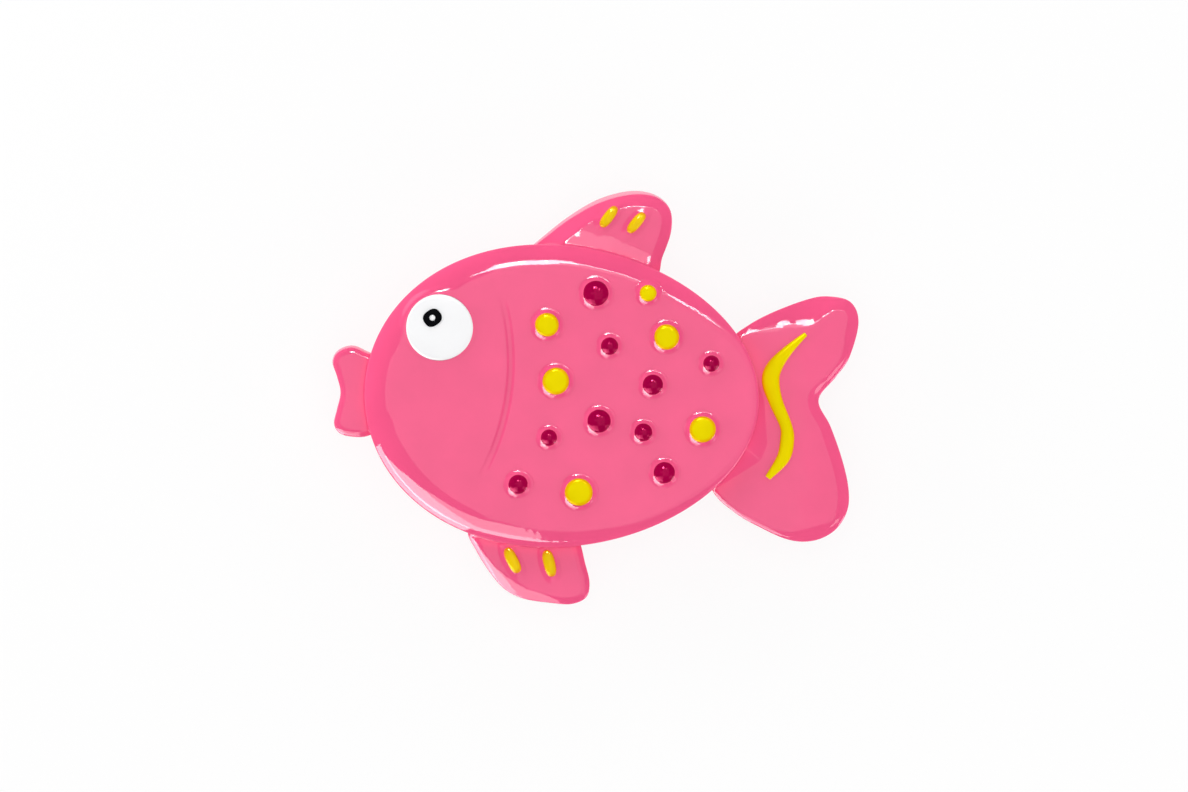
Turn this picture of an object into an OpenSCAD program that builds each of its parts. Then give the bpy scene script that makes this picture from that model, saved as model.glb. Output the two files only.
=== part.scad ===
// Squeaky bath toy: a relief fish of two soft shells with inlaid spots, an eye and a squeaker.
// The flat back lies on z = 0, the front looks up (+Z), the tail points to +X, the dorsal fin to +Y.

/* [Body] */
// Length of the egg-shaped body, mouth to tail root
body_length = 97.2; // [88:0.2:106]
// Height of the body, belly to back
body_height = 74.4; // [68:0.2:82]
// How much fuller the head end is than the tail end
head_fullness_share = 0.08; // [0:0.01:0.14]
// Tilt of the body's long axis, tail end down, in degrees
body_tilt = 1.8; // [0:0.1:4]
// Thickness from the flat back to the flat of the front
toy_thickness = 21; // [19.5:0.5:26]
// Width of the rounded shoulder, seen from the front
shoulder_width = 6.5; // [4:0.25:9]
// Slope that the rounded front edges reach at the outline, in degrees
edge_slope = 45; // [35:1:60]

/* [Shells] */
// Wall of the front shell
front_wall = 2.4; // [2.2:0.1:3]
// Floor of the back shell
back_floor = 2.6; // [2.2:0.1:3.4]
// Wall of the back shell's rim
rim_wall = 3.2; // [2.6:0.1:4]
// Height of the seam between the two shells
seam_height = 12; // [10.5:0.25:12.75]
// Depth of the front shell's rib inside the rim
rib_depth = 2; // [1:0.25:2.5]
// Wall of that rib
rib_wall = 1.6; // [1.2:0.1:2.4]
// Clearance between the shells along the seam
seam_fit = 0.15; // [0.1:0.05:0.25]
// Rounding of the edge round the back
back_round = 3; // [1.5:0.1:3.2]
// Height of the tail's, fins' and lips' backs above the body's back
fin_lift = 7; // [5:0.25:7.5]
// Rounding of the edge round those backs
fin_round = 2; // [1:0.1:2.2]

/* [Tail] */
// Reach of the tail beyond the body
tail_reach = 24.7; // [20:0.1:30]
// Span of the tail from lobe to lobe
tail_span = 60.3; // [54:0.1:66]
// Thickness of the tail
tail_thickness = 9.8; // [8:0.1:10.5]
// Width of the rounded edge of the tail
tail_bevel_width = 3.8; // [2.5:0.1:4.4]
// Width of the raised wavy stripe on the tail
stripe_width = 3.7; // [2.8:0.1:4.6]
// Rise of that stripe above the tail
stripe_rise = 0.9; // [0.5:0.1:1.4]

/* [Fins] */
// Length of the dorsal fin along the body
dorsal_length = 32.6; // [28:0.1:36]
// Height of the dorsal fin above the body
dorsal_height = 15.5; // [12:0.1:18]
// Length of the belly fin along the body
belly_length = 28.5; // [25:0.1:32]
// Height of the belly fin below the body
belly_height = 15; // [12:0.1:18]
// Thickness of both fins
fin_thickness = 9.4; // [7.8:0.1:10]
// Width of the rounded edge of the fins
fin_bevel_width = 2.6; // [1.6:0.1:2.8]
// Length of a drop-shaped mark on a fin
mark_length = 5.6; // [4.6:0.1:6.4]
// Width of a mark
mark_width = 2.4; // [1.8:0.1:2.8]
// Rise of a mark above its seat
mark_rise = 1; // [0.6:0.1:1.5]

/* [Lips] */
// Reach of the lips in front of the body
lip_reach = 8; // [6:0.1:10]
// Height of the lips
lip_height = 22.6; // [19:0.1:26]
// Thickness of the lips
lip_thickness = 10; // [8.4:0.1:11]
// Width of the rounded edge of the lips
lip_bevel_width = 2; // [1.4:0.1:2.2]

/* [Eye] */
// Diameter of the white of the eye
eye_diameter = 16.4; // [14:0.1:18]
// Rise of the eye above the front
eye_rise = 1; // [0.6:0.1:1.6]
// Rounding of the eye's edge
eye_round = 0.7; // [0.3:0.1:0.9]
// Diameter of the pupil
pupil_diameter = 4.3; // [3.4:0.1:5.4]
// Diameter of the glint in the pupil
glint_diameter = 1.8; // [1.2:0.1:2.4]
// Rise of the pupil and its glint above the eye
pupil_rise = 0.25; // [0.1:0.05:0.5]

/* [Spots] */
// Diameter of the largest spot
spot_diameter = 6.5; // [5.6:0.1:7.2]
// Rise of a yellow spot above its seat
yellow_rise = 0.7; // [0.4:0.1:1.2]
// Rise of a red spot above its seat
red_rise = 1; // [0.6:0.1:1.6]
// Width of the raised ring round a spot, at its foot
seat_margin = 1.2; // [0.8:0.1:1.6]
// Width of that ring at its top
seat_lip = 0.5; // [0.3:0.1:0.7]
// Rise of that ring above the front
seat_rise = 0.6; // [0.3:0.1:0.9]
// Depth that inlays are sunk into the shells
inlay_depth = 1.2; // [0.8:0.1:1.4]
// Clearance round an inlay
inlay_fit = 0.05; // [0.02:0.01:0.1]

/* [Gill] */
// Length of the gill line, tip to tip
gill_length = 44.6; // [38:0.2:50]
// Bow of the gill line's front edge
gill_bow = 4.5; // [3:0.1:6]
// Width of the gill line at its middle
gill_width = 2.2; // [1.4:0.1:3]
// Depth of the gill line
gill_depth = 0.5; // [0.3:0.05:0.8]

/* [Squeaker] */
// Diameter of the squeaker's flange
flange_diameter = 24; // [22:0.5:26]
// Thickness of the flange
flange_thickness = 1.5; // [1.2:0.1:1.8]
// Depth that the flange lies below the back
flange_recess = 0.3; // [0.1:0.1:0.5]
// Diameter of the squeaker's barrel
barrel_diameter = 18; // [16:0.5:20]
// Wall of the barrel
barrel_wall = 1.4; // [1.1:0.1:1.8]
// Height of the barrel's top above the back
barrel_top = 12.4; // [11.8:0.1:13]
// Rise of the snap bead round the barrel
bead_rise = 0.5; // [0.3:0.1:0.8]
// Height of the snap bead
bead_height = 1; // [0.7:0.1:1.4]
// Diameter of the moulded boss that grips the barrel
boss_diameter = 28; // [26.5:0.5:32]
// Height of that boss above the back
boss_height = 5.2; // [4:0.1:6]
// Diameter of the sound hole
sound_hole_diameter = 3.2; // [2.4:0.1:3.8]
// Thickness of the barrel's floor
barrel_floor = 2.3; // [1.8:0.1:2.6]
// Clearance of the squeaker's parts
squeaker_fit = 0.1; // [0.05:0.01:0.15]
// Diameter of the reed holder
holder_diameter = 6; // [5.4:0.1:7]
// Height of the reed holder
holder_height = 7.4; // [6.8:0.1:8]
// Width of the holder's air channel
channel_width = 1.8; // [1.4:0.1:2.2]
// Width of the reed
reed_width = 3; // [2.6:0.1:3.6]
// Length of the reed
reed_length = 6.4; // [5.6:0.1:6.8]
// Thickness of the reed
reed_thickness = 0.3; // [0.2:0.05:0.4]
// Gap on each side of the reed
reed_gap = 0.2; // [0.15:0.05:0.3]
// Height of the clip that holds the reed's root
clip_height = 2; // [1.6:0.1:2.4]
// Wall of the ring that the holder and clip stand in
socket_wall = 1.2; // [0.8:0.1:1.6]
// Thickness of the squeaker's cap
cap_thickness = 1.2; // [0.9:0.1:1.5]
// Depth of the cap's ring inside the barrel
cap_ring_depth = 1.1; // [0.8:0.1:1.4]
// Diameter of the cap's air holes
cap_hole_diameter = 1.8; // [1.4:0.1:2.2]
// Number of air holes round the cap
cap_hole_count = 6; // [4:1:8]

/* [Hidden] */
$fn = 64;
pink = [0.96, 0.42, 0.58];
yellow = [0.93, 0.84, 0.06];
dark_red = [0.62, 0.02, 0.26];
white = [0.98, 0.98, 0.98];
black = [0.05, 0.05, 0.06];
clear_white = [0.90, 0.91, 0.90];

// Extra length of every cut
overrun = 1;
// Steps of the curves
body_steps = 96;
outline_steps = 3;
round_steps = 3;
bevel_steps = 4;
shoulder_steps = 7;
dome_steps = 6;
stripe_steps = 4;

// Angles round the body at which the fins, lips and tail are rooted
tail_angle = 0;
dorsal_angle = 77;
lip_angle = 180;
belly_angle = 255;

// Outlines, counter-clockwise, as shares of each piece's length and height from its root point.
// Each starts at a point that sees the whole outline, so that flat faces can fan out from there
tail_shares = [
    [-0.47, -0.353], [-0.25, -0.447], [0, -0.508], [0.30, -0.562], [0.55, -0.566], [0.76, -0.524],
    [0.885, -0.445], [0.90, -0.353], [0.835, -0.232], [0.72, -0.098], [0.60, 0.01], [0.77, 0.103],
    [0.907, 0.184], [1, 0.327], [0.918, 0.412], [0.685, 0.435], [0.47, 0.42], [0.135, 0.368],
    [-0.11, 0.314], [-0.29, 0.252], [-0.57, 0.086], [-0.61, -0.146]
];
dorsal_shares = [
    [-0.3, -0.43], [-0.05, -0.485], [0.32, -0.42], [0.395, -0.05], [0.46, 0.355], [0.45, 0.71], [0.335, 0.94],
    [0.147, 1], [-0.092, 0.87], [-0.322, 0.587], [-0.535, 0.232], [-0.62, 0.065], [-0.663, -0.09],
    [-0.644, -0.258], [-0.567, -0.36]
];
belly_shares = [
    [-0.33, 0.2], [-0.263, -0.107], [-0.147, -0.467], [-0.01, -0.76], [0.154, -0.913], [0.382, -0.98],
    [0.565, -1], [0.695, -0.887], [0.723, -0.64], [0.684, -0.32], [0.628, 0.067], [0.495, 0.467],
    [0.074, 0.533], [-0.207, 0.467]
];
lip_shares = [
    [0.49, 0.32], [0, 0.436], [-0.40, 0.489], [-0.826, 0.436], [-1, 0.312], [-0.863, 0.153], [-0.752, -0.024],
    [-0.863, -0.21], [-0.95, -0.37], [-0.752, -0.476], [-0.317, -0.511], [0.118, -0.498], [0.615, -0.387],
    [0.74, -0.033]
];
// Middle line of the tail's stripe, in the tail's shares, and its width along the way
stripe_shares = [
    [0.47, 0.28], [0.285, 0.21], [0.155, 0.143], [0.12, 0.086], [0.17, 0.005], [0.268, -0.091],
    [0.285, -0.15], [0.245, -0.226], [0.09, -0.308]
];
stripe_width_shares = [0.14, 0.72, 0.92, 1, 1, 0.96, 0.9, 0.72, 0.14];
// Spots as shares of half the body's length and height from its middle, and of the largest diameter
yellow_spot_shares = [
    [0.438, 0.682, 0.61], [-0.074, 0.473, 0.86], [0.532, 0.392, 0.91], [-0.029, 0.1, 0.97],
    [0.714, -0.219, 0.95], [0.087, -0.634, 1]
];
red_spot_shares = [
    [0.174, 0.681, 0.95], [0.243, 0.332, 0.65], [0.758, 0.217, 0.61], [0.462, 0.077, 0.76],
    [0.19, -0.164, 0.87], [0.414, -0.238, 0.67], [-0.064, -0.273, 0.61], [0.52, -0.505, 0.8],
    [-0.22, -0.582, 0.72]
];
// Marks as shares of their fin's length and height, and their slant in degrees
dorsal_mark_shares = [[-0.014, 0.583], [0.195, 0.488]];
belly_mark_shares = [[0.056, -0.28], [0.375, -0.327]];
dorsal_mark_slants = [53, 51];
belly_mark_slants = [-63, -76];
// Middle of the eye and of the gill line as shares of half the body's length and height
eye_place_shares = [-0.618, 0.455];
gill_place_shares = [-0.379, 0.072];
gill_slant = -6.4;
// Middle of the pupil as shares of the eye's diameter
pupil_place_shares = [-0.105, 0.145];
// Depth of the pocket that the front shell stands in, below the seam, where a fin meets the body
pocket_drop = 0.2;
// Depth below the front at which the seats of the spots and the eye are rooted in the shell
seat_root = 1.8;
eye_seat_root = 3;
eye_seat_lip = 0.4;
// Flat of the reed holder from its axis, depth of its channel and thickness of its closed top
holder_flat = 0.6;
channel_depth = 1.8;
holder_top = 1.2;
// Wall of the cap's ring and distance of the air holes from the axis
cap_ring_wall = 1.2;
cap_hole_radius = 4.4;

// Smooth closed and open curves through a few points
function mix_curve(a, b, c, d, t) =
    (2 * b + (c - a) * t + (2 * a - 5 * b + 4 * c - d) * t * t + (3 * b - a - 3 * c + d) * t * t * t) / 2;
function closed_curve(points, steps) =
    let (n = len(points))
    [for (i = [0 : n - 1], s = [0 : steps - 1])
        mix_curve(points[(i + n - 1) % n], points[i], points[(i + 1) % n], points[(i + 2) % n], s / steps)];
function at(points, i) = points[max(0, min(len(points) - 1, i))];
function open_curve(points, steps) =
    [for (i = [0 : len(points) - 2], s = [0 : steps - (i < len(points) - 2 ? 1 : 0)])
        mix_curve(at(points, i - 1), points[i], points[i + 1], at(points, i + 2), s / steps)];

// Points moved inwards from a counter-clockwise outline, and set at a height
function inward(points, i) =
    let (n = len(points), along = points[(i + 1) % n] - points[(i + n - 1) % n])
    [-along.y, along.x] / norm(along);
function inset(points, d) = [for (i = [0 : len(points) - 1]) points[i] + d * inward(points, i)];
function ring(points, d, z) = [for (p = inset(points, d)) [p.x, p.y, z]];
function quarter(steps) = [for (s = [0 : steps]) 90 * s / steps];

// Body outline and the root points on it
function turned(p, a) = [p.x * cos(a) - p.y * sin(a), p.x * sin(a) + p.y * cos(a)];
function body_point(a) =
    turned([cos(a) * body_length, sin(a) * (1 - head_fullness_share * cos(a)) * body_height] / 2, -body_tilt);
function on_body(shares) = [shares.x * body_length, shares.y * body_height] / 2;
function outline(shares, root, length, height) =
    closed_curve([for (s = shares) root + [s.x * length, s.y * height]], outline_steps);
body_outline = [for (i = [0 : body_steps - 1]) body_point(360 * i / body_steps)];
tail_root = body_point(tail_angle);
dorsal_root = body_point(dorsal_angle);
belly_root = body_point(belly_angle);
lip_root = body_point(lip_angle);
tail_outline = outline(tail_shares, tail_root, tail_reach, tail_span);
dorsal_outline = outline(dorsal_shares, dorsal_root, dorsal_length, dorsal_height);
belly_outline = outline(belly_shares, belly_root, belly_length, belly_height);
lip_outline = outline(lip_shares, lip_root, lip_reach, lip_height);

// Middle of the whole toy, which goes to the origin
rim_points = concat(body_outline, tail_outline, dorsal_outline, belly_outline, lip_outline);
low_corner = [min([for (p = rim_points) p.x]), min([for (p = rim_points) p.y])];
high_corner = [max([for (p = rim_points) p.x]), max([for (p = rim_points) p.y])];
middle = (low_corner + high_corner) / 2;

// Heights and radii of the squeaker
flange_top = flange_recess + flange_thickness;
barrel_radius = barrel_diameter / 2;
barrel_bore_radius = barrel_radius - barrel_wall;
chamber_floor = flange_recess + barrel_floor;
holder_radius = holder_diameter / 2;
socket_radius = holder_radius + squeaker_fit;
reed_x = holder_flat + reed_gap;
clip_x = reed_x + reed_thickness + reed_gap;
spigot_inset = rim_wall + seam_fit;
rib_inset = spigot_inset + rib_wall;
root_depth = rim_wall / 2;
tail_top = fin_lift + tail_thickness;
fin_top = fin_lift + fin_thickness;
lip_top = fin_lift + lip_thickness;
seat_top = toy_thickness + seat_rise;
eye_place = on_body(eye_place_shares);
gill_place = on_body(gill_place_shares);
pupil_place = pupil_place_shares * eye_diameter;

// Everything is drawn round the body's middle and then moved to the toy's own
module placed() {
    translate([-middle.x, -middle.y, 0]) children();
}

// A closed solid through a stack of rings with the same number of points
module loft(rings) {
    n = len(rings[0]);
    last = (len(rings) - 1) * n;
    sides = [for (r = [0 : n : last - n], i = [0 : n - 1])
        let (next = (i + 1) % n)
        each [[r + i, r + n + i, r + n + next], [r + i, r + n + next, r + next]]];
    polyhedron(
        points = [for (r = rings) each r],
        faces = concat([[for (i = [0 : n - 1]) i]], [[for (i = [n - 1 : -1 : 0]) last + i]], sides)
    );
}

// A straight wall on an inset outline
module prism(points, d, bottom, top) {
    translate([0, 0, bottom]) linear_extrude(top - bottom) polygon(inset(points, d));
}

// Rounded foot of a solid with a flat back
function foot_rings(points, bottom, radius) =
    [for (a = quarter(round_steps)) ring(points, radius * (1 - sin(a)), bottom + radius * (1 - cos(a)))];

// Rounded top of a solid, an arc from the edge's slope to the flat
function crown_rings(points, top, width, steps, d = 0) =
    let (radius = width / sin(edge_slope))
    [for (s = [steps : -1 : 0])
        let (a = edge_slope * s / steps)
        ring(points, d + width - radius * sin(a), top - radius * (1 - cos(a)))];

// A fin, tail or lip: flat behind, with a rounded edge in front. Its root ends inside the body's rim,
// and the front shell stands in its pocket
module relief(points, top, width) {
    difference() {
        loft(concat(
            foot_rings(points, fin_lift, fin_round),
            crown_rings(points, top, width, bevel_steps)
        ));
        prism(body_outline, root_depth, -overrun, top + overrun);
        prism(body_outline, -seam_fit, seam_height - pocket_drop, top + overrun);
    }
}

// The space for the barrel and flange of the squeaker in the back
module squeaker_hole() {
    translate([0, 0, -overrun]) {
        cylinder(d = flange_diameter + 2 * squeaker_fit, h = flange_top + overrun);
        cylinder(d = barrel_diameter + 2 * squeaker_fit, h = boss_height + 2 * overrun);
    }
}

// The tray under the body, with a boss that grips the squeaker
module tray() {
    difference() {
        loft(concat(foot_rings(body_outline, 0, back_round), [ring(body_outline, 0, seam_height)]));
        difference() {
            prism(body_outline, rim_wall, back_floor, seam_height + overrun);
            cylinder(d = boss_diameter, h = boss_height);
        }
        squeaker_hole();
    }
}

module back_shell() {
    color(pink) placed() {
        tray();
        relief(tail_outline, tail_top, tail_bevel_width);
        relief(dorsal_outline, fin_top, fin_bevel_width);
        relief(belly_outline, fin_top, fin_bevel_width);
        relief(lip_outline, lip_top, lip_bevel_width);
    }
}

// The wall of the front shell: down its inside to the rib's foot, and up its outside
module front_skin() {
    rib_foot = seam_height - rib_depth;
    inside = concat(
        [ring(body_outline, rib_inset, rib_foot), ring(body_outline, rib_inset, seam_height)],
        crown_rings(body_outline, toy_thickness - front_wall, shoulder_width, shoulder_steps, front_wall)
    );
    outside = concat(
        [ring(body_outline, spigot_inset, rib_foot), ring(body_outline, spigot_inset, seam_height)],
        [ring(body_outline, 0, seam_height)],
        crown_rings(body_outline, toy_thickness, shoulder_width, shoulder_steps)
    );
    loft(concat([for (i = [len(inside) - 1 : -1 : 0]) inside[i]], outside));
}

// A seat for an inlay: a rounded mound that stands on the front
module seat(diameter) {
    foot = diameter / 2 + seat_margin;
    translate([0, 0, toy_thickness]) cylinder(r1 = foot, r2 = diameter / 2 + seat_lip, h = seat_rise);
    translate([0, 0, toy_thickness - seat_root]) cylinder(r = foot, h = seat_root);
}

// The hole that an inlay is pressed into
module socket(diameter, top) {
    translate([0, 0, top - inlay_depth]) cylinder(d = diameter + 2 * inlay_fit, h = inlay_depth + overrun);
}

// Places its children at a spot
module at_spot(spot) {
    translate(on_body(spot)) children();
}

// Two arcs through the same tips: a steep front edge, and a slope behind it
module gill_cut() {
    half = gill_length / 2;
    back_bow = gill_bow + gill_width;
    front_radius = (half * half + gill_bow * gill_bow) / (2 * gill_bow);
    back_radius = (half * half + back_bow * back_bow) / (2 * back_bow);
    depth = gill_depth + overrun;
    slope = gill_width / gill_depth * overrun;
    translate([gill_place.x, gill_place.y, toy_thickness - gill_depth]) rotate(gill_slant) difference() {
        translate([back_bow - back_radius, 0, 0])
            cylinder(r1 = back_radius - gill_width, r2 = back_radius + slope, h = depth, $fn = 180);
        translate([gill_bow - front_radius, 0, -overrun])
            cylinder(r = front_radius, h = depth + 2 * overrun, $fn = 180);
    }
}

module front_shell() {
    color(pink) placed() difference() {
        union() {
            front_skin();
            for (spot = concat(yellow_spot_shares, red_spot_shares))
                at_spot(spot) seat(spot[2] * spot_diameter);
            translate([eye_place.x, eye_place.y, toy_thickness - eye_seat_root])
                cylinder(d = eye_diameter + 2 * eye_seat_lip, h = eye_seat_root);
        }
        for (spot = concat(yellow_spot_shares, red_spot_shares))
            at_spot(spot) socket(spot[2] * spot_diameter, seat_top);
        translate(eye_place) socket(eye_diameter, toy_thickness);
        gill_cut();
    }
}

// A round inlay: a plug in its socket and a domed head
module button(diameter, rise) {
    dome = [for (a = quarter(dome_steps)) [diameter / 2 * cos(a), rise * sin(a)]];
    translate([0, 0, seat_top])
        rotate_extrude() polygon(concat([[0, -inlay_depth], [diameter / 2, -inlay_depth]], dome));
}

module yellow_spot(spot) {
    color(yellow) placed() at_spot(spot) button(spot[2] * spot_diameter, yellow_rise);
}

module red_spot(spot) {
    color(dark_red) placed() at_spot(spot) button(spot[2] * spot_diameter, red_rise);
}

// A raised stripe swept along the tail, pointed at both ends
module tail_stripe() {
    middles = [for (s = stripe_shares) tail_root + [s.x * tail_reach, s.y * tail_span]];
    line = open_curve(middles, stripe_steps);
    widths = open_curve(stripe_width_shares, stripe_steps);
    rings = [for (i = [0 : len(line) - 1])
        let (
            along = at(line, i + 1) - at(line, i - 1),
            side = [-along.y, along.x] / norm(along) * widths[i] * stripe_width / 2,
            rise = stripe_rise * sqrt(min(1, widths[i]))
        )
        [for (a = [0 : 30 : 180])
            [line[i].x + side.x * cos(a), line[i].y + side.y * cos(a), tail_top + rise * sin(a)]]];
    color(yellow) placed() loft(rings);
}

// A drop-shaped mark that lies on a fin
module mark(place, slant) {
    color(yellow) placed() translate([place.x, place.y, fin_top]) rotate(slant) difference() {
        scale([mark_length / 2, mark_width / 2, mark_rise]) sphere(r = 1);
        translate([0, 0, -mark_length / 2]) cube([2, 2, 1] * mark_length, center = true);
    }
}

module dorsal_mark(i) {
    s = dorsal_mark_shares[i];
    mark(dorsal_root + [s.x * dorsal_length, s.y * dorsal_height], dorsal_mark_slants[i]);
}

module belly_mark(i) {
    s = belly_mark_shares[i];
    mark(belly_root + [s.x * belly_length, s.y * belly_height], belly_mark_slants[i]);
}

// Places its children in the middle of the eye, at the level of its face
module at_eye(offset = [0, 0]) {
    translate([eye_place.x + offset.x, eye_place.y + offset.y, toy_thickness + eye_rise]) children();
}

module eye_white() {
    edge = eye_diameter / 2 - eye_round;
    rim = [for (a = quarter(dome_steps)) [edge + eye_round * cos(a), eye_round * (sin(a) - 1)]];
    plug = eye_rise + inlay_depth;
    color(white) placed() difference() {
        at_eye() rotate_extrude() polygon(concat([[0, -plug], [eye_diameter / 2, -plug]], rim, [[0, 0]]));
        at_eye(pupil_place) translate([0, 0, -inlay_depth])
            cylinder(d = pupil_diameter + 2 * inlay_fit, h = inlay_depth + overrun);
    }
}

module eye_pupil() {
    color(black) placed() at_eye(pupil_place) translate([0, 0, -inlay_depth]) difference() {
        cylinder(d = pupil_diameter, h = inlay_depth + pupil_rise);
        translate([0, 0, -overrun])
            cylinder(d = glint_diameter + 2 * inlay_fit, h = inlay_depth + pupil_rise + 2 * overrun);
    }
}

module eye_glint() {
    color(white) placed() at_eye(pupil_place) translate([0, 0, -inlay_depth])
        cylinder(d = glint_diameter, h = inlay_depth + pupil_rise);
}

// Flange, snap bead and barrel of the squeaker, with a socket for the reed over the sound hole
module squeaker_body() {
    bead_foot = boss_height + squeaker_fit;
    socket_top = chamber_floor + clip_height;
    color(clear_white) placed() rotate_extrude() polygon([
        [sound_hole_diameter / 2, flange_recess],
        [flange_diameter / 2, flange_recess],
        [flange_diameter / 2, flange_top],
        [barrel_radius, flange_top],
        [barrel_radius, bead_foot],
        [barrel_radius + bead_rise, bead_foot],
        [barrel_radius, bead_foot + bead_height],
        [barrel_radius, barrel_top],
        [barrel_bore_radius, barrel_top],
        [barrel_bore_radius, chamber_floor],
        [socket_radius + socket_wall, chamber_floor],
        [socket_radius + socket_wall, socket_top],
        [socket_radius, socket_top],
        [socket_radius, chamber_floor],
        [sound_hole_diameter / 2, chamber_floor]
    ]);
}

// A half-round post with an air channel that the reed lies over
module reed_holder() {
    top = holder_height - holder_top;
    color(clear_white) placed() translate([0, 0, chamber_floor]) difference() {
        cylinder(r = holder_radius, h = holder_height);
        translate([holder_flat, -holder_diameter, -overrun])
            cube([holder_diameter, 2 * holder_diameter, holder_height + 2 * overrun]);
        translate([holder_flat - channel_depth, -channel_width / 2, -overrun])
            cube([channel_depth + overrun, channel_width, top + overrun]);
    }
}

module squeaker_reed() {
    color(white) placed() translate([reed_x, -reed_width / 2, chamber_floor + reed_gap])
        cube([reed_thickness, reed_width, reed_length]);
}

// The other side of the half-round post, which holds the reed's root
module reed_clip() {
    color(clear_white) placed() translate([0, 0, chamber_floor]) intersection() {
        cylinder(r = holder_radius, h = clip_height);
        translate([clip_x, -holder_diameter, 0]) cube([holder_diameter, 2 * holder_diameter, clip_height]);
    }
}

// Lid of the barrel with its ring of air holes
module squeaker_cap() {
    ring_radius = barrel_bore_radius - squeaker_fit;
    color(clear_white) placed() translate([0, 0, barrel_top]) difference() {
        rotate_extrude() polygon([
            [0, 0],
            [ring_radius - cap_ring_wall, 0],
            [ring_radius - cap_ring_wall, -cap_ring_depth],
            [ring_radius, -cap_ring_depth],
            [ring_radius, 0],
            [barrel_radius, 0],
            [barrel_radius, cap_thickness],
            [0, cap_thickness]
        ]);
        for (i = [0 : cap_hole_count - 1])
            rotate(360 * i / cap_hole_count) translate([cap_hole_radius, 0, -overrun])
                cylinder(d = cap_hole_diameter, h = cap_thickness + 2 * overrun);
    }
}

back_shell();
front_shell();
tail_stripe();
for (i = [1 : len(dorsal_mark_shares)])
    dorsal_mark(i - 1);
for (i = [1 : len(belly_mark_shares)])
    belly_mark(i - 1);
eye_white();
eye_pupil();
eye_glint();
for (i = [1 : len(yellow_spot_shares)])
    yellow_spot(yellow_spot_shares[i - 1]);
for (i = [1 : len(red_spot_shares)])
    red_spot(red_spot_shares[i - 1]);
squeaker_body();
reed_holder();
squeaker_reed();
reed_clip();
squeaker_cap();
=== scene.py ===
"""Looks of the squeaky bath toy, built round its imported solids.

The two soft shells become smooth moulded skins, and the spots, eye, marks and stripe become the domed
drops of soft plastic that they are. The squeaker's parts are the solids with a moulded finish.
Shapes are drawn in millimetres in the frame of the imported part, and turned into metres when a mesh
is made.
"""
import math

import bpy
import numpy as np
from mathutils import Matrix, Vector
from mathutils.geometry import delaunay_2d_cdt


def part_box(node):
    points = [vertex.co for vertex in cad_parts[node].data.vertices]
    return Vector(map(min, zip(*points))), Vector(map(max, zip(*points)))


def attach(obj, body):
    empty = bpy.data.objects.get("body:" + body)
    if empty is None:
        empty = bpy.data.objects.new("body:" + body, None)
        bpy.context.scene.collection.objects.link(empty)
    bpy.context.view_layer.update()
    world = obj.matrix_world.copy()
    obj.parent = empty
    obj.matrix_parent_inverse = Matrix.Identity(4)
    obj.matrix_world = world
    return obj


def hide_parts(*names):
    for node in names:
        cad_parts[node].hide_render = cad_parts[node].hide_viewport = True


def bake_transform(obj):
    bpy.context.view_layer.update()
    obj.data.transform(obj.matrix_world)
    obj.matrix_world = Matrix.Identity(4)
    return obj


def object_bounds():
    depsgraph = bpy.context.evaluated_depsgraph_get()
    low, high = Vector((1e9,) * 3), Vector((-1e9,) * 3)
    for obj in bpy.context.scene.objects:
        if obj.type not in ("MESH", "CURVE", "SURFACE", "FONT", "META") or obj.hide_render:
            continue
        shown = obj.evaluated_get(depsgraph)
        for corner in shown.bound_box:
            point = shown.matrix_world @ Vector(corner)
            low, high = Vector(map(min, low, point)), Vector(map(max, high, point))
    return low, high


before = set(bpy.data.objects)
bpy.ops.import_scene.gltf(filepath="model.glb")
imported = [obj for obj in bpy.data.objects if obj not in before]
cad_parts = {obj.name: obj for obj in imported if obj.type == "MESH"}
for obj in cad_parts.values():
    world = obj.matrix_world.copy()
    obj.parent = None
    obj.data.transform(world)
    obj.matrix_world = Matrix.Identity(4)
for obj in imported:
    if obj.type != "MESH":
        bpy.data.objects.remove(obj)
cad_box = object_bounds()
MM = 0.001


def node_box(node):
    """Lowest and highest corner of a solid, in millimetres."""
    low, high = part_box(node)
    return np.array(low) / MM, np.array(high) / MM


def node_middle(node):
    """Middle of a solid, seen from the front."""
    low, high = node_box(node)
    return (low + high)[:2] / 2


def half_sizes(node):
    """Half of a solid's length and height, seen from the front."""
    low, high = node_box(node)
    return (high - low)[:2] / 2


def foot_of(node):
    return node_box(node)[0][2]


def top_of(node):
    return node_box(node)[1][2]


# Body: sizes in millimetres, angles in degrees
BODY_LENGTH = 97.2
BODY_HEIGHT = 74.4
HEAD_FULLNESS_SHARE = 0.08
BODY_TILT = 1.8
TAIL_ANGLE, DORSAL_ANGLE, LIP_ANGLE, BELLY_ANGLE = 0, 77, 180, 255

# Shells
FRONT_WALL = 2.4
BACK_FLOOR = 2.6
RIM_WALL = 3.2
RIB_DEPTH = 2
RIB_WALL = 1.6
SEAM_FIT = 0.15
SEAM_ROUND = 0.3
BACK_ROUND = 3
FIN_LIFT = 7
FIN_ROUND = 2
POCKET_DROP = 0.2
POCKET_FIT = 0.03

# Tail, fins and lips
TAIL_REACH, TAIL_SPAN = 24.7, 60.3
DORSAL_LENGTH, DORSAL_HEIGHT = 32.6, 15.5
BELLY_LENGTH, BELLY_HEIGHT = 28.5, 15
LIP_REACH, LIP_HEIGHT = 8, 22.6
STRIPE_WIDTH, STRIPE_RISE = 3.7, 0.9
STRIPE_CROWN_POWER = 0.8
MARK_LENGTH, MARK_WIDTH, MARK_RISE = 5.6, 2.4, 1
MARK_SEAT_RISE = 0.3
MARK_SLANTS = {"dorsal_mark_1": 53, "dorsal_mark_2": 51, "belly_mark_1": -63, "belly_mark_2": -76}

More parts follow.
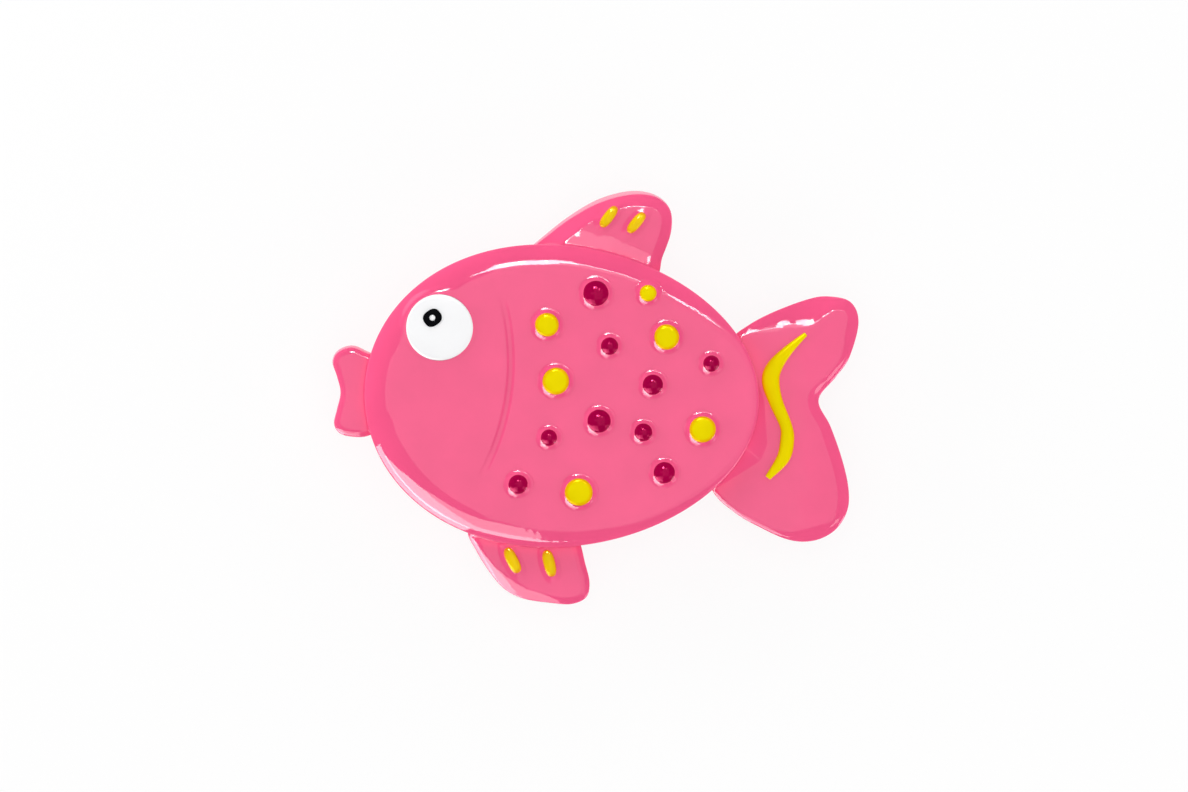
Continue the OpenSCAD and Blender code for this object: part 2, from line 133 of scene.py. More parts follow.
# Inlays
SEAT_RISE = 0.6
INLAY_SINK = 0.5
INLAY_FIT = 0.05
EYE_RISE = 1
PUPIL_RISE = 0.25
PUPIL_STRETCH, PUPIL_POWER, PUPIL_SLANT = (1.06, 0.94), 2.5, 35
MARK_POWER = 2.6

# The pupil's two edges: share of the outline and depth below the top
PUPIL_OUTER_EDGE = ((1, 0.12), (0.97, 0.03), (0.92, 0))
PUPIL_INNER_EDGE = ((1.06, 0), (1, 0.05))

# Fullness of the drops: 0.5 is half an ellipsoid, and less is flatter on top
RED_DOME, YELLOW_DOME, MARK_DOME, EYE_DOME, GLINT_DOME = 0.8, 0.42, 0.55, 0.16, 0.4

# How much larger than their solids the soft drops have spread, and how much smaller the glint is
YELLOW_SPREAD = 1.05
DORSAL_MARK_SPREAD, BELLY_MARK_SPREAD = 1.1, 1.22
GLINT_SHARE, GLINT_RISE_SHARE = 0.85, 0.8

# Gill line
GILL_LENGTH = 44.6
GILL_BOW = 4.5
GILL_WIDTH = 2.2
GILL_DEPTH = 0.5
GILL_SLANT = -6.4
GILL_PLACE_SHARES = (-0.379, 0.072)

# Squeaker seat in the back
FLANGE_HOLE, BARREL_HOLE, BOSS_DIAMETER = 24.2, 18.2, 28
FLANGE_SEAT, BOSS_TOP = 1.8, 5.2

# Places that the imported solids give
AXIS = node_middle("squeaker_body")
SEAT_TOP = top_of("front_shell")
FRONT = SEAT_TOP - SEAT_RISE
RIB_FOOT = foot_of("front_shell")
SEAM = RIB_FOOT + RIB_DEPTH
TAIL_TOP = foot_of("tail_stripe")
FIN_TOP = foot_of("dorsal_mark_1")
LIP_TOP = top_of("back_shell")

# Outlines, counter-clockwise, as shares of each piece's length and height from its root on the body
TAIL_SHARES = [
    (-0.47, -0.353), (-0.25, -0.447), (0, -0.508), (0.30, -0.562), (0.55, -0.566), (0.76, -0.524),
    (0.885, -0.445), (0.90, -0.353), (0.835, -0.232), (0.72, -0.098), (0.60, 0.01), (0.77, 0.103),
    (0.907, 0.184), (1, 0.327), (0.918, 0.412), (0.685, 0.435), (0.47, 0.42), (0.135, 0.368),
    (-0.11, 0.314), (-0.29, 0.252), (-0.57, 0.086), (-0.61, -0.146),
]
DORSAL_SHARES = [
    (-0.3, -0.43), (-0.05, -0.485), (0.32, -0.42), (0.395, -0.05), (0.46, 0.355), (0.45, 0.71),
    (0.335, 0.94), (0.147, 1), (-0.092, 0.87), (-0.322, 0.587), (-0.535, 0.232), (-0.62, 0.065),
    (-0.663, -0.09), (-0.644, -0.258), (-0.567, -0.36),
]
BELLY_SHARES = [
    (-0.33, 0.2), (-0.263, -0.107), (-0.147, -0.467), (-0.01, -0.76), (0.154, -0.913), (0.382, -0.98),
    (0.565, -1), (0.695, -0.887), (0.723, -0.64), (0.684, -0.32), (0.628, 0.067), (0.495, 0.467),
    (0.074, 0.533), (-0.207, 0.467),
]
LIP_SHARES = [
    (0.49, 0.32), (0, 0.436), (-0.40, 0.489), (-0.826, 0.436), (-1, 0.312), (-0.863, 0.153),
    (-0.752, -0.024), (-0.863, -0.21), (-0.95, -0.37), (-0.752, -0.476), (-0.317, -0.511),
    (0.118, -0.498), (0.615, -0.387), (0.74, -0.033),
]
STRIPE_SHARES = [
    (0.47, 0.28), (0.285, 0.21), (0.155, 0.143), (0.12, 0.086), (0.17, 0.005), (0.268, -0.091),
    (0.285, -0.15), (0.245, -0.226), (0.09, -0.308),
]
STRIPE_WIDTH_SHARES = [0.3, 0.7, 1.08, 1.2, 0.96, 0.84, 0.95, 0.9, 0.42]

# Width, slope and roundness of each front edge by the direction, in degrees, that it faces
SHOULDER_EDGE = {
    "widths": {0: 1.6, 22: 1.8, 37: 3.4, 60: 6.4, 160: 6.8, 262: 6.6, 290: 3.4, 330: 1.8},
    "slopes": {0: 25, 35: 25, 60: 45, 285: 45, 320: 25},
    "roundness": {0: 1},
}
TAIL_EDGE = {
    "widths": {0: 2.9, 22: 2.9, 40: 2.2, 65: 2.6, 88: 4, 100: 5.6, 108: 8, 113: 7.8, 118: 6.4, 122: 3,
               126: 1.6, 180: 2, 212: 1.3, 240: 1.3, 256: 2.4, 270: 3.4, 285: 3.6, 311: 3.2, 340: 3.2},
    "slopes": {0: 30, 40: 40, 96: 38, 106: 30, 124: 30, 140: 40, 200: 45, 270: 40, 345: 42},
    "roundness": {0: 0, 60: 0.2, 96: 0.1, 106: 0.1, 110: 1, 250: 1, 265: 0.3, 290: 0.3, 308: 1, 340: 1,
                  352: 0},
}
DORSAL_EDGE = {
    "widths": {0: 2.6, 60: 3, 95: 3, 110: 3.2, 130: 4.2, 200: 3},
    "slopes": {0: 35},
    "roundness": {0: 0},
}
BELLY_EDGE = {
    "widths": {0: 2.2, 90: 2.2, 185: 1.5, 213: 1.6, 228: 3.8, 250: 3.6, 266: 1.6, 300: 2},
    "slopes": {0: 24, 170: 45, 213: 45, 226: 26},
    "roundness": {0: 0.4},
}
LIP_EDGE = {"widths": {0: 1.8}, "slopes": {0: 40}, "roundness": {0: 1}}

# How far an upper rim stands in from its outline, by the direction that it faces
DORSAL_DRAFTS = {50: 0.05, 88: 1, 116: 1, 140: 0.2, 180: 0.05}
LIP_DRAFTS = {60: 0.3, 90: 0.8, 120: 0.5, 180: 0.05, 270: 0.05}

# Folds near the body: slope in degrees, then a place on each line and the direction that the slope faces
TAIL_FOLD = (
    18.5, ((38.2, 8.5), 80), ((38.7, 7.8), 19), ((42.1, -8), 4), ((42, -12.5), -22), ((40.4, -15.7), -45),
    ((32.3, -20.9), -58),
)
DORSAL_FOLD = (10.5, ((-0.6, 40.7), 78), ((10.3, 36.9), 64))

# Slow unevenness of the moulded faces: height, length of a wave and its direction in degrees
FRONT_WAVES = [(0.01, 17, 20), (0.006, 11, 75), (0.004, 8, 130)]
FIN_WAVES = [(0.005, 9, 100), (0.003, 6, 30)]

# Spacing of mesh points along outlines and over flat areas, and numbers of points and rings
RIM_SPACING = 0.7
FIELD_SPACING = 1.3
ROUND_POINTS = 64
OUTLINE_STEPS = 24
STRIPE_STEPS, STRIPE_SECTION_POINTS = 14, 15
DROP_RINGS, DOME_RINGS = 18, 9
BACK_RINGS, FIN_RINGS, SEAM_RINGS = 8, 6, 4

# How far a cutter stands out past what it cuts
CUT_OVER = 1

# Points of an outline to each side over which a table's values are averaged
TABLE_BLUR = 6

# Faces that meet at more than this angle keep a sharp edge
SHARP_DEGREES = 38


# Curves and outlines
def mixed(a, b, c, d, t):
    """Point at t between b and c on a smooth curve through a, b, c and d."""
    return (2 * b + (c - a) * t + (2 * a - 5 * b + 4 * c - d) * t**2 + (3 * b - a - 3 * c + d) * t**3) / 2


def curve_through(points, steps, closed=True):
    points = np.asarray(points, float)
    count = len(points)
    rows = []
    for i in range(count if closed else count - 1):
        places = [(i + k) % count if closed else min(max(i + k, 0), count - 1) for k in (-1, 0, 1, 2)]
        rows += [mixed(*points[places], t) for t in np.arange(steps) / steps]
    return np.array(rows if closed else rows + [points[-1]])


def evenly(points, spacing):
    """A closed outline with its points spread evenly along it."""
    loop = np.vstack([points, points[:1]])
    way = np.concatenate([[0], np.cumsum(np.linalg.norm(np.diff(loop, axis=0), axis=1))])
    stops = np.linspace(0, way[-1], int(way[-1] / spacing), endpoint=False)
    return np.column_stack([np.interp(stops, way, loop[:, k]) for k in (0, 1)])


def left_of(along):
    """Unit vectors to the left of directions."""
    return np.column_stack([-along[:, 1], along[:, 0]]) / np.linalg.norm(along, axis=1)[:, None]


def inward(points):
    """Unit normals of a counter-clockwise outline, towards its inside."""
    return left_of(np.roll(points, -1, axis=0) - np.roll(points, 1, axis=0))


def inset(points, distance):
    """An outline moved inwards, by one distance or by one for each point."""
    return points + np.reshape(distance, (-1, 1)) * inward(points)


def unit_points(angles):
    return np.column_stack([np.cos(angles), np.sin(angles)])


def unit_circle(count):
    return unit_points(np.linspace(0, 2 * math.pi, count, endpoint=False))


def turned(points, degrees):
    a = math.radians(degrees)
    return np.asarray(points) @ np.array([[math.cos(a), math.sin(a)], [-math.sin(a), math.cos(a)]])


def edge_distance(points, outline):
    """Distance of each point from a closed outline, and the number of the outline's nearest point."""
    after = np.roll(outline, -1, axis=0)
    span = after - outline
    far, near = [], []
    for part in np.array_split(points, max(1, len(points) // 2000)):
        gap = part[:, None] - outline[None]
        t = np.clip((gap * span).sum(2) / (span**2).sum(1), 0, 1)
        reach = np.linalg.norm(gap - t[..., None] * span, axis=2)
        near.append(reach.argmin(1))
        far.append(reach.min(1))
    return np.concatenate(far), np.concatenate(near)


def inside(points, outline):
    """Which points lie inside a closed outline."""
    x, y = points[:, :1], points[:, 1:]
    ax, ay = outline.T
    bx, by = np.roll(outline, -1, axis=0).T
    rise = np.where(by == ay, 1, by - ay)
    crossed = ((ay > y) != (by > y)) & (x < ax + (y - ay) * (bx - ax) / rise)
    return crossed.sum(1) % 2 == 1


def smooth(t):
    t = np.clip(t, 0, 1)
    return t * t * (3 - 2 * t)


def softened(high, reach):
    """A height that stops at 0, with the corner rounded off over a reach."""
    return (high + np.sqrt(high**2 + reach**2)) / 2 * (high > -3 * reach)


def by_direction(outline, table):
    """Values for the points of an outline, from a table by the direction in degrees that each faces."""
    out = -inward(outline)
    faced = np.degrees(np.arctan2(out[:, 1], out[:, 0]))
    found = np.interp(faced, list(table), list(table.values()), period=360)
    return np.mean([np.roll(found, k) for k in range(-TABLE_BLUR, TABLE_BLUR + 1)], axis=0)


class Edge:
    """The front edge of an outline, falling to a slope at the outline, with a small corner there.

    Its roundness is 1 for an arc and 0 for a nearly flat bevel. All three tables are by direction.
    """

    SHARES = (0.1, 0.2, 0.3, 0.41, 0.52, 0.63, 0.74, 0.85, 0.93, 0.98, 1.02)
    CORNER, CORNER_RINGS = 0.4, 5
    BEVEL_POWER = 1.2
    RIPPLE = 0.016
    RIPPLES = ((1, 3.7, 0), (0.7, 2.3, 1), (0.35, 1.3, 2))

    def __init__(self, outline, widths, slopes, roundness):
        self.outline = outline
        way = np.arange(len(outline)) * RIM_SPACING
        ripple = sum(size * np.sin(way / length + start) for size, length, start in self.RIPPLES)
        self.widths = by_direction(outline, widths) * (1 + self.RIPPLE * ripple)
        self.roundness = by_direction(outline, roundness)
        self.slopes = np.radians(by_direction(outline, slopes))

    def fall(self, depth, near):
        """How far the edge lies below its top at a depth inside the outline, next to a point of it."""
        width, slope, roundness = self.widths[near], self.slopes[near], self.roundness[near]
        left = np.clip(1 - depth / width, 0, 1)
        arc = (1 - np.sqrt(1 - (np.sin(slope) * left) ** 2)) / np.sin(slope)
        bevel = np.tan(slope) * left**self.BEVEL_POWER / self.BEVEL_POWER
        return width * (roundness * arc + (1 - roundness) * bevel)

    def height(self, points, top):
        """Height at each point, and its depth as a share of the edge's width."""
        depth, near = edge_distance(points, self.outline)
        return top - self.fall(depth, near), depth / self.widths[near]

    def corner_rings(self, top):
        """Rings from the upright wall to the start of the rounding."""
        last = math.pi / 2 - self.slopes
        level = top - self.fall(self.CORNER * (1 - np.cos(last)), np.arange(len(self.outline)))
        turns = np.linspace(0, 1, self.CORNER_RINGS)[:, None] * last
        return [(inset(self.outline, self.CORNER * (1 - np.cos(a))),
                 level - self.CORNER * (np.sin(last) - np.sin(a))) for a in turns]

    def depths(self):
        """Depths at each point of the outline of the rings that fill the edge."""
        first = self.CORNER * (1 - np.sin(self.slopes))
        return [first + (self.widths - first) * share for share in self.SHARES]


def body_point(degrees):
    """Points of the egg-shaped body's outline."""
    a = np.radians(degrees)
    high = np.sin(a) * (1 - HEAD_FULLNESS_SHARE * np.cos(a))
    return turned(np.column_stack([np.cos(a) * BODY_LENGTH, high * BODY_HEIGHT]) / 2, -BODY_TILT) + AXIS


def root(degrees):
    """Place on the body that a piece grows from."""
    return body_point(np.array([degrees]))[0]


def piece_outline(shares, angle, length, height):
    points = root(angle) + np.array(shares) * (length, height)
    return evenly(curve_through(points, OUTLINE_STEPS), RIM_SPACING)


BODY = evenly(body_point(np.arange(0, 360, 0.25)), RIM_SPACING)
TAIL = piece_outline(TAIL_SHARES, TAIL_ANGLE, TAIL_REACH, TAIL_SPAN)
DORSAL = piece_outline(DORSAL_SHARES, DORSAL_ANGLE, DORSAL_LENGTH, DORSAL_HEIGHT)
BELLY = piece_outline(BELLY_SHARES, BELLY_ANGLE, BELLY_LENGTH, BELLY_HEIGHT)
LIPS = piece_outline(LIP_SHARES, LIP_ANGLE, LIP_REACH, LIP_HEIGHT)


def foot_rings(outline, radius, height, steps):
    """Rings of a rounded lower edge, from the flat underside to the upright wall."""
    return [(inset(outline, radius * (1 - math.sin(a))), height + radius * (1 - math.cos(a)))
            for a in np.linspace(0, math.pi / 2, steps)]


def waves(points, rows):
    """Unevenness of a moulded face, from rows of height, length of a wave and its direction."""
    high = np.zeros(len(points))
    for number, (height, length, degrees) in enumerate(rows):
        a = math.radians(degrees)
        way = points @ (math.cos(a), math.sin(a))
        high += height * np.sin(2 * math.pi * way / length + 1.7 * number)
    return high


# Forms that rise from or sink into a face
class Seat:
    """A round or oval seat for an inlay: a hollow slope up to it with a fine line round its foot."""

    STEPS = (-0.5, -0.2, -0.04, 0, 0.1, 0.2, 0.32, 0.45, 0.6, 0.75, 0.9, 1.05, 1.17, 1.25, 1.32, 1.38,
             1.44, 1.52, 1.65)
    FOOT = 1.38
    LINE_HALF_WIDTH = 0.12
    CLEAR = 0.35

    def __init__(self, middle, half_sizes, slant=0, rise=SEAT_RISE, line=0.026):
        self.middle = np.asarray(middle, float)
        self.half = np.asarray(half_sizes, float)
        self.slant = slant
        self.rise = rise
        self.line = line

    def across(self, points):
        """Distance outside the inlay's edge."""
        local = turned(points - self.middle, -self.slant) / self.half
        return (np.linalg.norm(local, axis=1) - 1) * self.half.min()

    def points(self):
        unit = unit_circle(ROUND_POINTS)
        scales = [1 + t / self.half.min() for t in self.STEPS]
        rings = [self.middle + turned(unit * self.half * scale, self.slant) for scale in scales]
        return np.vstack(rings + [self.middle[None]])

    def covers(self, points):
        return self.across(points) < self.STEPS[-1] + self.CLEAR

    def lift(self, points):
        out = self.across(points)
        mound = self.rise * np.clip(1 - out / self.FOOT, 0, 1) ** 2
        line = self.line * np.exp(-((out - self.FOOT) / self.LINE_HALF_WIDTH) ** 2)
        return np.where(out < -INLAY_FIT / 2, self.rise - INLAY_SINK, mound - line)


class Gill:
    """A curved groove with soft walls, fading towards both tips."""

    STEPS = (-0.4, -0.1, 0.1, 0.25, 0.4, 0.55, 0.7, 0.9, 1.2, 1.5, 1.65, 1.8, 1.95, 2.1, 2.3, 2.6)
    WALL = 0.8
    DEPTH_SHARE = 0.7
    TAPER_POWER = 0.7
    OVERRUN, POINTS_ALONG = 1.06, 110
    CLEAR_ALONG, CLEAR = 1.08, 0.4

    def __init__(self):
        self.middle = AXIS + np.array(GILL_PLACE_SHARES) * (BODY_LENGTH, BODY_HEIGHT) / 2
        self.half = GILL_LENGTH / 2
        self.radius = (self.half**2 + GILL_BOW**2) / (2 * GILL_BOW)
        self.centre = np.array([GILL_BOW - self.radius, 0])

    def along_and_out(self, points):
        """Place along the line, from -1 to 1 between its tips, and distance behind its front edge."""
        local = turned(points - self.middle, -GILL_SLANT) - self.centre
        reach = np.arcsin(self.half / self.radius)
        return np.arctan2(local[:, 1], local[:, 0]) / reach, np.linalg.norm(local, axis=1) - self.radius

    def points(self):
        places = np.linspace(-self.OVERRUN, self.OVERRUN, self.POINTS_ALONG)
        arc = unit_points(places * np.arcsin(self.half / self.radius))
        curves = [self.centre + arc * (self.radius + step) for step in self.STEPS]
        return self.middle + turned(np.vstack(curves), GILL_SLANT)

    def covers(self, points):
        along, out = self.along_and_out(points)
        near = (out > self.STEPS[0] - self.CLEAR) & (out < self.STEPS[-1] + self.CLEAR)
        return near & (np.abs(along) < self.CLEAR_ALONG)

    def lift(self, points):
        along, out = self.along_and_out(points)
        taper = np.clip(1 - along**2, 0, 1)
        walls = smooth(out / self.WALL) * smooth((GILL_WIDTH - out) / self.WALL)
        return -GILL_DEPTH * self.DEPTH_SHARE * taper**self.TAPER_POWER * walls


# Rows of an even field, and how near the outline the rings, the field and the features' points may come
ROW_STEP, ROWS_PER_SPACING = 0.866, 1.16
RING_CLEARANCE, FIELD_CLEARANCE, FEATURE_CLEARANCE = 0.92, 0.6, 0.95


def field(outline, features, depths):
    """Points that fill an outline: rings along its edge, the features' own points and an even field."""
    low, high = outline.min(0), outline.max(0)
    columns, rows = np.ceil((high - low) / FIELD_SPACING * (1, ROWS_PER_SPACING)).astype(int)
    grid = np.array([(c + 0.5 * (r % 2), r * ROW_STEP) for r in range(rows) for c in range(columns)])
    grid = low + grid * FIELD_SPACING
    sources = [
        (inset(outline, depth), lambda near, depth=depth: depth[near] * RING_CLEARANCE, features)
        for depth in depths
    ]
    sources.append((grid, lambda near: depths[-1][near] + FIELD_SPACING * FIELD_CLEARANCE, features))
    sources += [
        (feature.points(), lambda near: depths[0][near] * FEATURE_CLEARANCE, features[:number])
        for number, feature in enumerate(features)
    ]
    kept = []
    for points, least, others in sources:
        points = points[inside(points, outline)]
        far, near = edge_distance(points, outline)
        points = points[far > least(near)]
        for other in others:
            points = points[~other.covers(points)]
        kept.append(points)
    return np.vstack(kept)


class Skin:
    """A closed mesh that grows ring by ring."""

    def __init__(self):
        self.points = np.zeros((0, 3))
        self.faces = []

    def add(self, points, heights):
        start = len(self.points)
        column = np.broadcast_to(np.asarray(heights, float), len(points))
        self.points = np.vstack([self.points, np.column_stack([points, column])])
        return np.arange(start, len(self.points))

    def band(self, first, second):
        rows = zip(first, np.roll(first, -1), np.roll(second, -1), second)
        self.faces += [tuple(int(i) for i in row) for row in rows]

    def stack(self, rings):
        """Joins rings of (points, heights) in turn and returns the first and last."""
        added = [self.add(*ring) for ring in rings]
        for first, second in zip(added, added[1:]):
            self.band(first, second)
        return added[0], added[-1]

    def lid(self, ring, up=True):
        self.faces.append(tuple(int(i) for i in (ring if up else ring[::-1])))

    def fill(self, ring, points, height):
        """Covers a ring with triangles through points at the height that a function gives."""
        rim = self.points[ring][:, :2]
        count = len(rim)
        flat = [Vector(p) for p in np.vstack([rim, points])]
        edges = [(i, (i + 1) % count) for i in range(count)]
        _, _, faces, origins, _, _ = delaunay_2d_cdt(flat, edges, [], 1, 1e-7)
        added = self.add(points, height(points))
        number = np.concatenate([ring, added])
        names = [int(number[o[0]]) for o in origins]
        self.faces += [tuple(names[i] for i in face) for face in faces]

    def object(self, name):
        mesh = bpy.data.meshes.new(name)
        mesh.from_pydata((self.points * MM).tolist(), [], self.faces)
        mesh.validate()
        piece = bpy.data.objects.new(name, mesh)
        bpy.context.scene.collection.objects.link(piece)
        return piece


def cut(piece, other, operation):
    """Joins a mesh to a piece or cuts it away, and removes it."""
    step = piece.modifiers.new("shape", "BOOLEAN")
    step.object = other
    step.operation = operation
    step.solver = "MANIFOLD"
    bpy.context.view_layer.objects.active = piece
    bpy.ops.object.modifier_apply(modifier=step.name)
    bpy.data.objects.remove(other)


def prism(outline, bottom, top):
    """An upright block that another piece is joined with or cut by."""
    skin = Skin()
    first, last = skin.stack([(outline, bottom), (outline, top)])
    skin.lid(first, up=False)
    skin.lid(last)
    return skin.object("cutter")


def circle(diameter):
    """A circle round the squeaker's axis."""
    return AXIS + unit_circle(2 * ROUND_POINTS) * diameter / 2


# Front skin
SPOTS = [f"yellow_spot_{i}" for i in range(1, 7)] + [f"red_spot_{i}" for i in range(1, 10)]


def spot_half(node):
    """Half sizes of a spot. The yellow drops spread a little over their seats."""
    return half_sizes(node) * (YELLOW_SPREAD if node.startswith("yellow") else 1)


class EyeSeat(Seat):
    """The level place that the eye stands on, also where the shoulder falls away under it."""

    STEPS = (-3, -1, -0.4, -0.04, 0, 0.1, 0.25, 0.4, 0.6, 0.8, 1, 1.3, 1.6, 2, 2.4)
    LEDGE, SLOPE = 0.35, 1.6

    def level(self, points, heights):
        share = 1 - smooth((self.across(points) - self.LEDGE) / self.SLOPE)
        return heights + (FRONT - heights) * share

    def lift(self, points):
        return np.where(self.across(points) < -INLAY_FIT / 2, -INLAY_SINK, 0)


EYE_SEAT = EyeSeat(node_middle("eye_white"), half_sizes("eye_white"))
FRONT_FEATURES = [EYE_SEAT] + [Seat(node_middle(n), spot_half(n)) for n in SPOTS] + [Gill()]
SHOULDER = Edge(BODY, **SHOULDER_EDGE)


def front_height(points):
    heights, share = SHOULDER.height(points, FRONT)
    heights += waves(points, FRONT_WAVES) * smooth(share)
    heights = EYE_SEAT.level(points, heights)
    for feature in FRONT_FEATURES:
        heights += feature.lift(points)
    return heights


def front_skin():
    """The soft face with its hollow inside and the rib that stands in the back shell."""
    spigot = RIM_WALL + SEAM_FIT
    rib = spigot + RIB_WALL
    everywhere = np.arange(len(BODY))
    dome = [(inset(BODY, FRONT_WALL + d), FRONT - FRONT_WALL - SHOULDER.fall(d, everywhere))
            for d in np.linspace(0, SHOULDER.widths.max(), DOME_RINGS)]
    skin = Skin()
    first, last = skin.stack(
        dome[::-1]
        + [(inset(BODY, rib), SEAM), (inset(BODY, rib), RIB_FOOT)]
        + [(inset(BODY, spigot), RIB_FOOT), (inset(BODY, spigot), SEAM)]
        + foot_rings(BODY, SEAM_ROUND, SEAM, SEAM_RINGS)
        + SHOULDER.corner_rings(FRONT)
    )
    skin.lid(first, up=False)
    skin.fill(last, field(BODY, FRONT_FEATURES, SHOULDER.depths()), front_height)
    return skin.object("front_skin")


# Back skin
class Fillet:
    """A small hollow rounding between a fin and the body."""

    RISE, REACH = 0.12, 0.5
    STEP = 0.15

    def away(self, points):
        """Distance from the body, 0 inside it."""
        return np.where(inside(points, BODY), 0, edge_distance(points, BODY)[0])

    def points(self):
        steps = np.arange(0, self.REACH + 2 * self.STEP, self.STEP)
        return np.vstack([inset(BODY, -away) for away in steps])

    def covers(self, points):
        return self.away(points) < self.REACH + 3 * self.STEP

    def lift(self, points):
        return self.RISE * np.clip(1 - self.away(points) / self.REACH, 0, 1) ** 2


class Fold:
    """A flat slope that rises from a fold towards the body.

    The fold is lines, each given by a place on it and the direction in degrees that the slope faces there.
    """

    STEPS = (-0.3, -0.1, 0, 0.1, 0.3)
    HALF_LENGTH, SPACING = 30, 0.3
    NEAR, CLEAR = 0.35, 0.6
    REACH = 7
    SOFTNESS = 0.04

    def __init__(self, slope, *lines):
        self.slope = math.tan(math.radians(slope))
        self.lines = [(np.array(place), turned([(1, 0)], faces)[0]) for place, faces in lines]

    def depth(self, points):
        """Distance behind the fold."""
        return np.min([(place - points) @ out for place, out in self.lines], axis=0)

    def points(self):
        rows = []
        for place, out in self.lines:
            along = np.arange(-self.HALF_LENGTH, self.HALF_LENGTH, self.SPACING)
            line = place + along[:, None] * turned([out], 90)
            rows += [line - step * out for step in self.STEPS]
        points = np.vstack(rows)
        return points[np.abs(self.depth(points)) < self.NEAR]

    def covers(self, points):
        return np.abs(self.depth(points)) < self.CLEAR

    def lift(self, points):
        return self.slope * softened(np.minimum(self.depth(points), self.REACH), self.SOFTNESS)


class Relief:
    """A fin, tail or lip: a slab with a rounded back edge, a front edge and slopes up to the body."""

    DRAFT_SLOPE = 2.6

    def __init__(self, outline, top, edge, slopes, drafts=None, seats=()):
        self.outline = outline
        self.drafts = by_direction(outline, drafts) if drafts else None
        self.rim = inset(outline, self.drafts) if drafts else outline
        self.edge = Edge(self.rim, **edge)
        self.top = top
        self.seats = list(seats)
        self.slopes = slopes

    def height(self, points):
        heights, share = self.edge.height(points, self.top)
        rise = waves(points, FIN_WAVES) + sum(slope.lift(points) for slope in self.slopes)
        heights += rise * smooth(share)
        for seat in self.seats:
            heights += seat.lift(points)
        return heights

    def object(self, name):
        foot = foot_rings(self.outline, FIN_ROUND, FIN_LIFT, FIN_RINGS)
        corner = self.edge.corner_rings(self.top)
        if self.drafts is not None:
            foot.append((self.outline, corner[0][1] - self.DRAFT_SLOPE * self.drafts))
        skin = Skin()
        first, last = skin.stack(foot + corner)
        skin.lid(first, up=False)
        features = self.seats + self.slopes
        skin.fill(last, field(self.rim, features, self.edge.depths()), self.height)
        return skin.object(name)


def mark_half(node):
    """Half sizes of a mark with its coloured edge, which is wider on the belly fin."""
    spread = BELLY_MARK_SPREAD if node.startswith("belly") else DORSAL_MARK_SPREAD
    return np.array([MARK_LENGTH, MARK_WIDTH]) / 2 * spread


def mark_seats(fin):
    return [Seat(node_middle(node), mark_half(node), slant, MARK_SEAT_RISE, line=0)
            for node, slant in MARK_SLANTS.items() if node.startswith(fin)]


RELIEFS = {
    "tail": Relief(TAIL, TAIL_TOP, TAIL_EDGE, [Fold(*TAIL_FOLD)]),
    "dorsal": Relief(DORSAL, FIN_TOP, DORSAL_EDGE, [Fillet(), Fold(*DORSAL_FOLD)], DORSAL_DRAFTS,
                     mark_seats("dorsal")),
    "belly": Relief(BELLY, FIN_TOP, BELLY_EDGE, [Fillet()], seats=mark_seats("belly")),
    "lips": Relief(LIPS, LIP_TOP, LIP_EDGE, [Fillet()], LIP_DRAFTS),
}


def tray():
    """The open back of the body, without tail, fins, lips and squeaker seat."""
    corner = [(inset(BODY, SEAM_ROUND * (1 - math.cos(a))), SEAM - SEAM_ROUND * (1 - math.sin(a)))
              for a in np.linspace(0, math.pi / 2, SEAM_RINGS)]
    wall = [(inset(BODY, RIM_WALL), SEAM), (inset(BODY, RIM_WALL), BACK_FLOOR)]
    skin = Skin()
    first, last = skin.stack(foot_rings(BODY, BACK_ROUND, 0, BACK_RINGS) + corner + wall)
    skin.lid(first, up=False)
    skin.lid(last)
    return skin.object("back_skin")


def back_skin():
    """The back of the body with tail, fins, lips and the seat for the squeaker."""
    skin = tray()
    over = FRONT + CUT_OVER
    for name, relief in RELIEFS.items():
        fin = relief.object(name)
        cut(fin, prism(inset(BODY, RIM_WALL / 2), -CUT_OVER, over), "DIFFERENCE")
        cut(fin, prism(inset(BODY, -POCKET_FIT), SEAM - POCKET_DROP, over), "DIFFERENCE")
        cut(skin, fin, "UNION")
    cut(skin, prism(circle(BOSS_DIAMETER), BACK_FLOOR / 2, BOSS_TOP), "UNION")
    cut(skin, prism(circle(FLANGE_HOLE), -CUT_OVER, FLANGE_SEAT), "DIFFERENCE")
    cut(skin, prism(circle(BARREL_HOLE), -CUT_OVER, BOSS_TOP + CUT_OVER), "DIFFERENCE")
    return skin


# Drops of plastic on the skins
def squarish(power=2):
    """A unit outline between a circle, at a power of 2, and a square."""
    unit = unit_circle(ROUND_POINTS)
    return np.sign(unit) * np.abs(unit) ** (2 / power)


def wobbly(outline, amount, seed):
    """An outline that isn't quite even."""
    a = np.linspace(0, 2 * math.pi, len(outline), endpoint=False)
    reach = 1 + amount * (np.cos(2 * a + seed) + 0.6 * np.cos(3 * a + 2.3 * seed))
    return outline * reach[:, None]


def keep_rim(piece, shares):
    """Stores how near each point is to the edge of a drop, for its material."""
    layer = piece.data.attributes.new("rim", "FLOAT", "POINT")
    layer.data.foreach_set("value", np.asarray(shares, float))
    return piece


def drop(name, middle, half, base, rise, dome, slant=0, wobble=0.012, seed=0.0, power=2):
    """A drop that stands on base and is sunk a little into it."""
    unit = wobbly(squarish(power), wobble, seed) * half
    shares = np.sin(np.linspace(math.pi / 2, 0, DROP_RINGS))[:-1]
    skin = Skin()
    rings = [(middle + turned(unit, slant), base - INLAY_SINK)]
    rings += [(middle + turned(unit * s, slant), base + rise * (1 - s**2) ** dome) for s in shares]
    first, last = skin.stack(rings)
    skin.lid(first, up=False)
    tip = skin.add(np.asarray(middle)[None], base + rise)[0]
    skin.faces += [(int(a), int(b), int(tip)) for a, b in zip(last, np.roll(last, -1))]
    return keep_rim(skin.object(name), np.append(np.repeat([1, *shares], len(unit)), 0))


